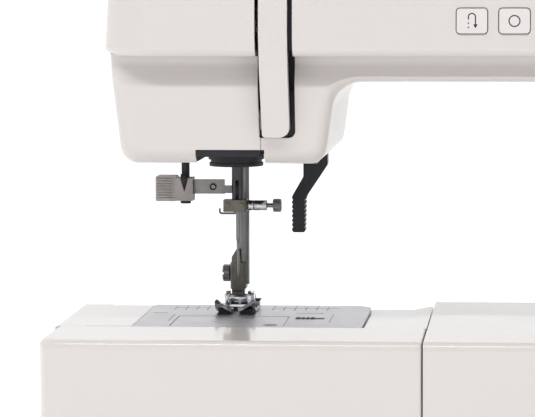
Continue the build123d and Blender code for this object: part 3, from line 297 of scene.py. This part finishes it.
# ---------------------------------------------------------------- places, in mm
def middle_of(node):
    """Centre of a CAD node's box, in mm from the frame's origin."""
    low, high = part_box(node)
    return (low + high) / (2 * MM)


NEEDLE_AXIS = middle_of("needle_bar")
PLATE_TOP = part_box("needle_plate")[1].z / MM
UPPER_FRONT = -54.0           # y of the upper body's front at the arm's lower edge
ARM_LOW_EDGE = 194.0          # z of that edge
FRONT_LEAN = math.tan(math.radians(3.3))


def from_needle(x, y, z):
    """A point given in mm from the needle's axis and the plate's top."""
    return Vector(((NEEDLE_AXIS.x + x) * MM, (NEEDLE_AXIS.y + y) * MM, (PLATE_TOP + z) * MM))


def front_at(z):
    """y of the upper body's leaning front at a height; both in mm from the frame's origin."""
    return UPPER_FRONT + (z - ARM_LOW_EDGE) * FRONT_LEAN


def plane_x(x):
    """Puts an outline in y and z at one x, from the needle."""
    return lambda y, z: from_needle(x, y, z)


def plane_y(y, lean=0.0):
    """Puts an outline in x and z at one y, from the needle; lean brings it forward as it rises."""
    return lambda x, z: from_needle(x, y - lean * z, z)


def plane_z(z):
    """Puts an outline in x and y at one height over the plate."""
    return lambda x, y: from_needle(x, y, z)


# ---------------------------------------------------------------- making of pieces
OFF_AXIS = Vector((0.13, 0.31, 0.94))     # a direction that no tube here runs along


def piece(name, bm, material, body, bevel=0.0, rounds=0, thick=0.0):
    """Turns a bmesh into a finished object that rides on a CAD body; bevel and thick are in mm."""
    bmesh.ops.recalc_face_normals(bm, faces=bm.faces)
    mesh = bpy.data.meshes.new(name)
    bm.to_mesh(mesh)
    bm.free()
    made = bpy.data.objects.new(name, mesh)
    bpy.context.scene.collection.objects.link(made)
    mesh.materials.append(material)
    if thick:
        solid = made.modifiers.new("thickness", "SOLIDIFY")
        solid.thickness = thick * MM
        solid.offset = 0.0
    if bevel:
        edge = made.modifiers.new("edges", "BEVEL")
        edge.width = bevel * MM
        edge.segments = 3
        edge.limit_method = "ANGLE"
        edge.angle_limit = math.radians(35.0)
    if rounds:
        smooth = made.modifiers.new("rounding", "SUBSURF")
        smooth.levels = rounds
        smooth.render_levels = rounds
    for face in mesh.polygons:
        face.use_smooth = True
    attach(made, body)
    return made


def add_sheet(bm, place, across, along):
    """Grid of faces over place(u, v), with u and v from 0 to 1."""
    grid = [[bm.verts.new(place(i / across, j / along)) for j in range(along + 1)]
            for i in range(across + 1)]
    for i in range(across):
        for j in range(along):
            bm.faces.new((grid[i][j], grid[i + 1][j], grid[i + 1][j + 1], grid[i][j + 1]))


def add_prism(bm, outline, lower, upper):
    """Prism over an outline; lower and upper turn an outline point into a 3D point."""
    low = [bm.verts.new(lower(*p)) for p in outline]
    high = [bm.verts.new(upper(*p)) for p in outline]
    bm.faces.new(low)
    bm.faces.new(high)
    for i in range(len(outline)):
        j = (i + 1) % len(outline)
        bm.faces.new((low[i], low[j], high[j], high[i]))


def add_skin(bm, rings):
    """Joins a row of equal rings of vertices and closes both ends."""
    sides = len(rings[0])
    for one, two in zip(rings, rings[1:]):
        for k in range(sides):
            bm.faces.new((one[k], one[(k + 1) % sides], two[(k + 1) % sides], two[k]))
    bm.faces.new(rings[0])
    bm.faces.new(rings[-1])


def full_turn(sides):
    return [2 * math.pi * k / sides for k in range(sides)]


def add_tube(bm, path, radius, sides):
    """Round wire along an open path of points, all in metres."""
    rings = []
    last = len(path) - 1
    for i, point in enumerate(path):
        way = (path[min(i + 1, last)] - path[max(i - 1, 0)]).normalized()
        side = way.cross(OFF_AXIS).normalized()
        up = way.cross(side)
        rings.append([bm.verts.new(point + radius * (math.cos(a) * side + math.sin(a) * up))
                      for a in full_turn(sides)])
    add_skin(bm, rings)


def add_turned(bm, profile, z, sides):
    """Turned part round an axis along X through the needle's axis; profile is (x, radius)."""
    add_skin(bm, [[bm.verts.new(from_needle(x, radius * math.cos(a), z + radius * math.sin(a)))
                   for a in full_turn(sides)] for x, radius in profile])


def prism_piece(name, outline, lower, upper, finish, body, bevel=0.0):
    """A piece that is one prism, with the finish of a material slot."""
    bm = bmesh.new()
    add_prism(bm, outline, lower, upper)
    piece(name, bm, look[finish], body, bevel)


def draw(name, shapes, place, thick, material, body):
    """Printed marks: flat shapes set on a surface, with place(a, b, height) giving the point."""
    bm = bmesh.new()
    for shape in shapes:
        add_prism(bm, shape, lambda a, b: place(a, b, 0.0), lambda a, b: place(a, b, thick))
    piece(name, bm, material, body)


def stroke(path, width, closed=False):
    """Short flat quads, mitred, that draw a line of one width along a 2D path."""
    sides = []
    count = len(path)
    for i in range(count):
        before = path[(i - 1) % count] if closed or i else path[i]
        after = path[(i + 1) % count] if closed or i < count - 1 else path[i]
        way = (Vector(after) - Vector(before)).normalized()
        off = Vector((-way.y, way.x)) * width / 2
        sides.append((Vector(path[i]) + off, Vector(path[i]) - off))
    last = count if closed else count - 1
    return [(sides[i][0], sides[(i + 1) % count][0], sides[(i + 1) % count][1], sides[i][1])
            for i in range(last)]


def arc(x, z, radius, start, end, steps=14):
    turn = [math.radians(start + (end - start) * k / steps) for k in range(steps + 1)]
    return [(x + radius * math.cos(a), z + radius * math.sin(a)) for a in turn]


def rectangle(left, right, low, high):
    return [(left, low), (right, low), (right, high), (left, high)]


def block_mark(x, z, half_x, half_z):
    return rectangle(x - half_x, x + half_x, z - half_z, z + half_z)


# ---------------------------------------------------------------- clip-on zigzag foot, from the needle
SOLE_LEFT = -9.3
SOLE_RIGHT = 8.4
SOLE_LEVEL = 1.25             # middle of the sole's thickness
SOLE_THICK = 1.5
SLOT_FRONT = -1.9             # the needle's slot, between the toes and the heel
SLOT_BACK = 2.0
SLOT_HALF = 5.3
TOE_LENGTH = 10.1
TOE_RISE = 5.0
TOE_SPREAD = 0.35             # share by which the gap between the toes narrows at their roots
HEEL_LENGTH = 12.5
PIN_Y = 9.6
PIN_Z = 6.2
PIN_RADIUS = 0.85


def toe_sheet(inner, outer):
    """One toe, which rises towards its tip and its outer side."""
    def place(u, v):
        edge = inner * (1 - TOE_SPREAD * (1 - v))
        x = edge + (outer - edge) * u
        y = SLOT_FRONT - TOE_LENGTH * v + max(0.0, v - 0.8)
        z = SOLE_LEVEL + TOE_RISE * v ** 2.2 * (0.16 + 0.84 * u ** 1.2)
        return from_needle(x, y, z)
    return place


def link_sheet(left, right):
    """Strip beside the needle's slot, between a toe and the heel."""
    def place(u, v):
        y = SLOT_FRONT + (SLOT_BACK - SLOT_FRONT) * v
        return from_needle(left + (right - left) * u, y, SOLE_LEVEL)
    return place


def heel_sheet(u, v):
    """Back of the sole, which turns up a little at its end."""
    x = SOLE_LEFT + (SOLE_RIGHT - SOLE_LEFT) * u
    return from_needle(x, SLOT_BACK + HEEL_LENGTH * v, SOLE_LEVEL + 0.5 * max(0.0, v - 0.7))


def foot_sole():
    """Split sole with turned-up toes, which stands for the CAD foot."""
    bm = bmesh.new()
    for inner, outer in ((-2.0, SOLE_LEFT), (1.1, SOLE_RIGHT)):
        add_sheet(bm, toe_sheet(inner, outer), 10, 14)
    for left, right in ((SOLE_LEFT, -SLOT_HALF), (SLOT_HALF, SOLE_RIGHT)):
        add_sheet(bm, link_sheet(left, right), 3, 3)
    add_sheet(bm, heel_sheet, 12, 8)
    bmesh.ops.remove_doubles(bm, verts=bm.verts, dist=0.01 * MM)
    sole = piece("foot_sole", bm, sole_chrome, "presser_foot",
                 bevel=0.25, rounds=1, thick=SOLE_THICK)
    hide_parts("presser_foot")


def foot_toes():
    """Blunt fronts of the toes, leaning forward towards their tips, and dark pieces below them that paint
    the shade under the toes.
    """
    front = [(8.9, 6.7), (7.9, 6.9), (6.2, 4.9), (3.1, 3.1), (0.9, 1.5), (1.3, 0.5), (7.5, 0.5)]
    under = [(8.0, 2.3), (3.6, 2.3), (1.5, 1.1), (1.5, 0.35), (7.4, 0.35)]
    fronts = bmesh.new()
    toe_shade = bmesh.new()
    for mirror, shift in ((1, 0.0), (-1, -0.5)):
        for bm, outline, ahead in ((fronts, front, 0.0), (toe_shade, under, 0.25)):
            points = [(mirror * x + shift, z) for x, z in outline]
            add_prism(bm, points, plane_y(-8.6 - ahead, lean=0.5), plane_y(-7.3 - ahead, lean=0.35))
    piece("foot_toes", fronts, sole_chrome, "presser_foot", bevel=0.3)
    # painted shade: dark pieces below the toes' fronts stand in for the shadow under the toes
    piece("foot_toe_shade", toe_shade, look["motor_steel"], "presser_foot", bevel=0.15)


def foot_bridge():
    """Two upright cheeks, the bridge between them and the cross pin that the holder clips on to."""
    cheek = [(3.6, 1.6), (13.4, 1.6), (13.0, 5.4), (11.6, 7.9), (9.4, 8.7), (5.8, 8.5), (4.2, 7.8),
             (3.6, 6.4)]
    bridge = [(4.1, 2.6), (7.0, 2.6), (7.0, 6.2), (6.4, 6.9), (5.0, 7.0), (4.1, 6.2)]
    bm = bmesh.new()
    for outline, left, right in ((cheek, -6.6, -4.5), (cheek, 3.6, 6.8), (bridge, -5.2, 3.8)):
        add_prism(bm, outline, plane_x(left), plane_x(right))
    piece("foot_bridge", bm, foot_chrome, "presser_foot", bevel=0.45)
    pin = bmesh.new()
    path = [from_needle(x, PIN_Y, PIN_Z) for x in (-7.4, -7.2, 6.8, 7.0)]
    add_tube(pin, path, PIN_RADIUS * MM, 20)
    piece("foot_pin", pin, foot_chrome, "presser_foot", bevel=0.1)


def foot_tab():
    """Raised tab at the right of the heel, with its black cap."""
    prism_piece("foot_tab", rectangle(6.0, 8.7, 9.6, 14.5), plane_z(1.4), plane_z(3.8),
                "satin_steel", "presser_foot", bevel=0.4)
    prism_piece("foot_tab_cap", rectangle(5.9, 9.1, 9.2, 15.0), plane_z(3.85), plane_z(4.6),
                "black_plastic", "presser_foot", bevel=0.25)


# ---------------------------------------------------------------- needle clamp and threader
def clamp_details():
    """Screw bosses and bright sleeve of the needle clamp, and a black strip on the needle bar, painted
    shade for the dark gap next to it.
    """
    bosses = bmesh.new()
    for x in (-4.2, 1.9):
        add_tube(bosses, [from_needle(x, y, 49.2) for y in (-4.9, -4.8, -4.3)], 1.15 * MM, 22)
    piece("clamp_bosses", bosses, look["holder_steel"], "needle_bar", bevel=0.12)
    sleeve = bmesh.new()
    wide, neck = 2.36, 2.2
    profile = ((4.4, neck), (4.6, wide), (7.0, wide), (7.2, neck), (7.6, neck), (7.8, wide),
               (12.9, wide), (13.3, 2.0))
    add_turned(sleeve, profile, 48.5, 36)
    piece("clamp_sleeve", sleeve, sleeve_steel, "needle_bar")
    # painted shade: black strip standing for the shaded gap beside the needle bar
    prism_piece("bar_shade_strip", rectangle(-0.9, 0.7, 51.3, 60.0), plane_y(-2.84), plane_y(-2.5),
                "black_plastic", "needle_bar")


def threader_details():
    """Black front half round the threader's rod, its pointed tip, dark strokes painting the shade between
    the knob's ridges, and the ring.
    """
    rod = middle_of("threader_rod") - NEEDLE_AXIS
    half_round = arc(rod.x, rod.y, 3.02, 195, 345, 16) + arc(rod.x, rod.y, 2.93, 345, 195, 16)
    prism_piece("threader_sleeve", half_round, plane_z(53.3), plane_z(59.7),
                "black_plastic", "threader_arm")
    tip = [(rod.x + x, z) for x, z in ((-1.8, 62.4), (1.8, 62.4), (1.4, 59.8), (0.0, 54.6), (-1.4, 59.8))]
    prism_piece("threader_tip", tip, plane_y(1.72), plane_y(1.95), "black_plastic", "threader")
    # painted shade: flat dark strokes across the knob's front in place of its shaded grooves
    ridge_shade_strokes = []
    for k in range(9):
        level = 51.6 + 1.1 * k
        ridge_shade_strokes += stroke([(-37.2, level), (-30.4, level)], 0.26)
    knob_front = 2.02
    draw("knob_ridge_shade", ridge_shade_strokes, lambda x, z, height: from_needle(x, knob_front - height, z), 0.06,
         ridge_shade_grey, "threader")
    ring = bmesh.new()
    loop = [from_needle(x, 4.8, z) for x, z in arc(-11.9, 56.4, 1.25, 0, 345, 23)]
    add_tube(ring, loop, 0.33 * MM, 10)
    piece("threader_ring", ring, look["black_plastic"], "threader_arm")


# ---------------------------------------------------------------- symbols and marks
ICON_LINE = 0.5
BUTTON_PROUD = 0.58           # how far the symbols lie in front of the leaning body


def on_button(x, z, height):
    y = front_at(z) - BUTTON_PROUD - height
    return Vector((x * MM, y * MM, z * MM))


def reverse_icon(x, z):
    """Hooked arrow: an arch with a dotted left leg and an arrow head at the foot of its right leg."""
    half = 1.5
    low = z - 3.1
    shapes = stroke(arc(x, z + 1.7, half, 180, 0) + [(x + half, low + 1.6)], ICON_LINE)
    shapes += stroke([(x - half, z + 1.75), (x - half, z + 0.6)], ICON_LINE)
    shapes += [block_mark(x - half, z - drop, 0.27, 0.27) for drop in (0.9, 2.7)]
    shapes.append([(x + half - 0.9, low + 1.7), (x + half + 0.9, low + 1.7), (x + half, low)])
    return shapes


def lock_icon(x, z):
    """Plain ring."""
    return stroke(arc(x, z, 2.3, 0, 345, 28), ICON_LINE, closed=True)


def needle_icon(x, z):
    """Needle standing in a broken line."""
    shapes = stroke([(x, z + 3.2), (x, z - 1.2)], ICON_LINE)
    shapes.append([(x - 0.25, z - 1.2), (x + 0.25, z - 1.2), (x, z - 3.2)])
    for start, end in ((-2.6, -1.0), (1.0, 2.6)):
        shapes += stroke([(x + start, z - 1.4), (x + end, z - 1.4)], ICON_LINE)
    return shapes


def start_stop_icon(x, z):
    """Triangle and upright bar."""
    return [[(x - 2.8, z - 2.0), (x + 0.4, z), (x - 2.8, z + 2.0)], block_mark(x + 2.0, z, 0.8, 1.8)]


def button_icons():
    icons = {"reverse_button": reverse_icon, "lock_button": lock_icon, "needle_button": needle_icon,
             "start_stop_button": start_stop_icon}
    for button, icon in icons.items():
        centre = middle_of(button)
        draw(button + "_icon", icon(centre.x, centre.z), on_button, 0.06, ink, button)


def on_plate(sunk):
    """Places marks by x from the needle and y from the frame's middle, with their feet sunk in."""
    return lambda x, y, height: from_needle(x, y - NEEDLE_AXIS.y, height - sunk)


def plate_marks():
    """Seam guides engraved on the needle plate at 5 mm steps, and the marks on the hook cover."""
    rule, line = 0.35, 0.3
    near = 22.0
    marks = []
    for k in range(3, 9):
        marks += stroke([(5.0 * k, near), (5.0 * k, 36.0 if k % 2 else 33.0)], rule)
    marks += stroke([(15.0, 29.0), (46.0, 29.0)], line)
    for k in range(3, 7):
        marks += stroke([(-5.0 * k, near), (-5.0 * k, 34.0)], rule)
    marks += stroke([(-30.0, 29.0), (-13.0, 29.0)], line)
    marks += stroke([(-38.0, 9.6), (-31.6, 9.6)], 0.8)
    marks += stroke([(-27.5, 4.5), (-27.5, -18.0)], line)
    marks += stroke([(27.0, 10.5), (39.0, 10.5)], 0.5)
    marks += stroke([(44.0, -20.0), (44.0, 8.0)], line)
    draw("plate_marks", marks, on_plate(sunk=0.01), 0.05, mark_ink, "root")
    marks = stroke([(3.6, -7.0), (9.6, -7.0)], 1.6)
    marks += stroke([(-6.0, -14.0), (6.0, -14.0)], line)
    marks += stroke(arc(0.0, -14.0, 9.0, 200, 340), line)
    draw("cover_marks", marks, on_plate(sunk=0.11), 0.05, mark_ink, "hook_cover")


# ---------------------------------------------------------------- thread slot
def slot_liner():
    """Dark channel behind the right-hand thread slot, stepped where the body steps back."""
    left, right = 28.2, 32.4
    thick = 1.0
    behind_front = 4.2
    bm = bmesh.new()
    for low, high, y in ((82.0, 103.0, -59.1), (102.0, 121.0, -55.0)):
        add_prism(bm, rectangle(left, right, low, high), plane_y(y), plane_y(y + thick))

    def along_front(deep):
        def place(x, z):
            y = front_at(z + PLATE_TOP) + behind_front
            return from_needle(x, y - NEEDLE_AXIS.y + deep, z)
        return place
    add_prism(bm, rectangle(left, right, 120.5, 190.0), along_front(0.0), along_front(thick))
    piece("slot_liner", bm, look["black_plastic"], "root", bevel=0.1)


foot_sole()
foot_toes()
foot_bridge()
foot_tab()
clamp_details()
threader_details()
button_icons()
plate_marks()
slot_liner()


# ---------------------------------------------------------------- room, light and camera, in metres
BRIGHT_WAY = (-0.40, 0.86, -0.1)          # direction in which the studio's walls get brighter
WALLS_DIM = 0.37
WALLS_BRIGHT = 1.05
WALL_TINT = (0.99, 0.993, 1.0, 1.0)
FLOOR_GLOW = 0.42
CAMERA_PLACE = (14.7 * MM, -1222.6 * MM, 232.3 * MM)
CAMERA_PITCH = 5.022                      # degrees below the horizon
CAMERA_YAW = 3.401
CAMERA_ROLL = 0.059
SENSOR_WIDTH = 36.0
FOCAL_LENGTH = 185.47
SHIFT_ACROSS = -0.2


def floor():
    bpy.ops.mesh.primitive_plane_add(size=14.0, location=(0.0, 2.0, 0.0))
    plane = bpy.context.object
    plane.name = "floor"
    s = Shader("floor_paint")
    s.set(Base_Color=s.mix(s.noise(scale=1.5), (0.90, 0.90, 0.90), (0.93, 0.93, 0.93)))
    s.set(Roughness=s.spread(s.noise(scale=3.0), 0.85, 0.95))
    s.set(Emission_Color=(1.0, 1.0, 1.0, 1.0), Emission_Strength=FLOOR_GLOW)
    plane.data.materials.append(s.material)


def sky():
    """White studio walls: brightest behind the object, dimmer on the operator's side."""
    world = bpy.data.worlds.new("studio")
    bpy.context.scene.world = world
    world.use_nodes = True
    tree = world.node_tree
    background = tree.nodes["Background"]
    place = tree.nodes.new("ShaderNodeTexCoord")
    along = tree.nodes.new("ShaderNodeVectorMath")
    along.operation = "DOT_PRODUCT"
    along.inputs[1].default_value = BRIGHT_WAY
    ramp = tree.nodes.new("ShaderNodeMapRange")
    ramp.interpolation_type = "SMOOTHSTEP"
    tree.links.new(place.outputs["Generated"], along.inputs[0])
    tree.links.new(along.outputs["Value"], ramp.inputs["Value"])
    limits = {"From Min": -0.7, "From Max": 0.8, "To Min": WALLS_DIM, "To Max": WALLS_BRIGHT}
    for name, value in limits.items():
        ramp.inputs[name].default_value = value
    tree.links.new(ramp.outputs["Result"], background.inputs["Strength"])
    background.inputs["Color"].default_value = WALL_TINT


def softbox(name, place, aim, width, height, power):
    data = bpy.data.lights.new(name, "AREA")
    data.shape = "RECTANGLE"
    data.size = width
    data.size_y = height
    data.energy = power
    light = bpy.data.objects.new(name, data)
    bpy.context.scene.collection.objects.link(light)
    light.location = place
    direction = Vector(aim) - Vector(place)
    light.rotation_euler = direction.to_track_quat("-Z", "Y").to_euler()


def camera():
    data = bpy.data.cameras.new("camera")
    data.sensor_width = SENSOR_WIDTH
    data.lens = FOCAL_LENGTH
    data.shift_x = SHIFT_ACROSS
    data.clip_end = 50.0
    view = bpy.data.objects.new("camera", data)
    bpy.context.scene.collection.objects.link(view)
    view.location = CAMERA_PLACE
    view.rotation_euler = [math.radians(turn) for turn in (90.0 - CAMERA_PITCH, CAMERA_ROLL, CAMERA_YAW)]
    bpy.context.scene.camera = view


floor()
sky()
softbox("key_light", place=(1.1, -2.0, 1.3), aim=(0, 0, 0.15), width=1.6, height=1.2, power=2.5)
softbox("fill_light", place=(-0.8, -2.2, 0.7), aim=(0, 0, 0.15), width=1.2, height=1.0, power=2.0)
softbox("strip_light", place=(0.0, -1.0, 2.05), aim=(0, -0.05, 0.07), width=2.6, height=0.12, power=29)
camera()
bpy.context.scene.view_settings.view_transform = "Standard"
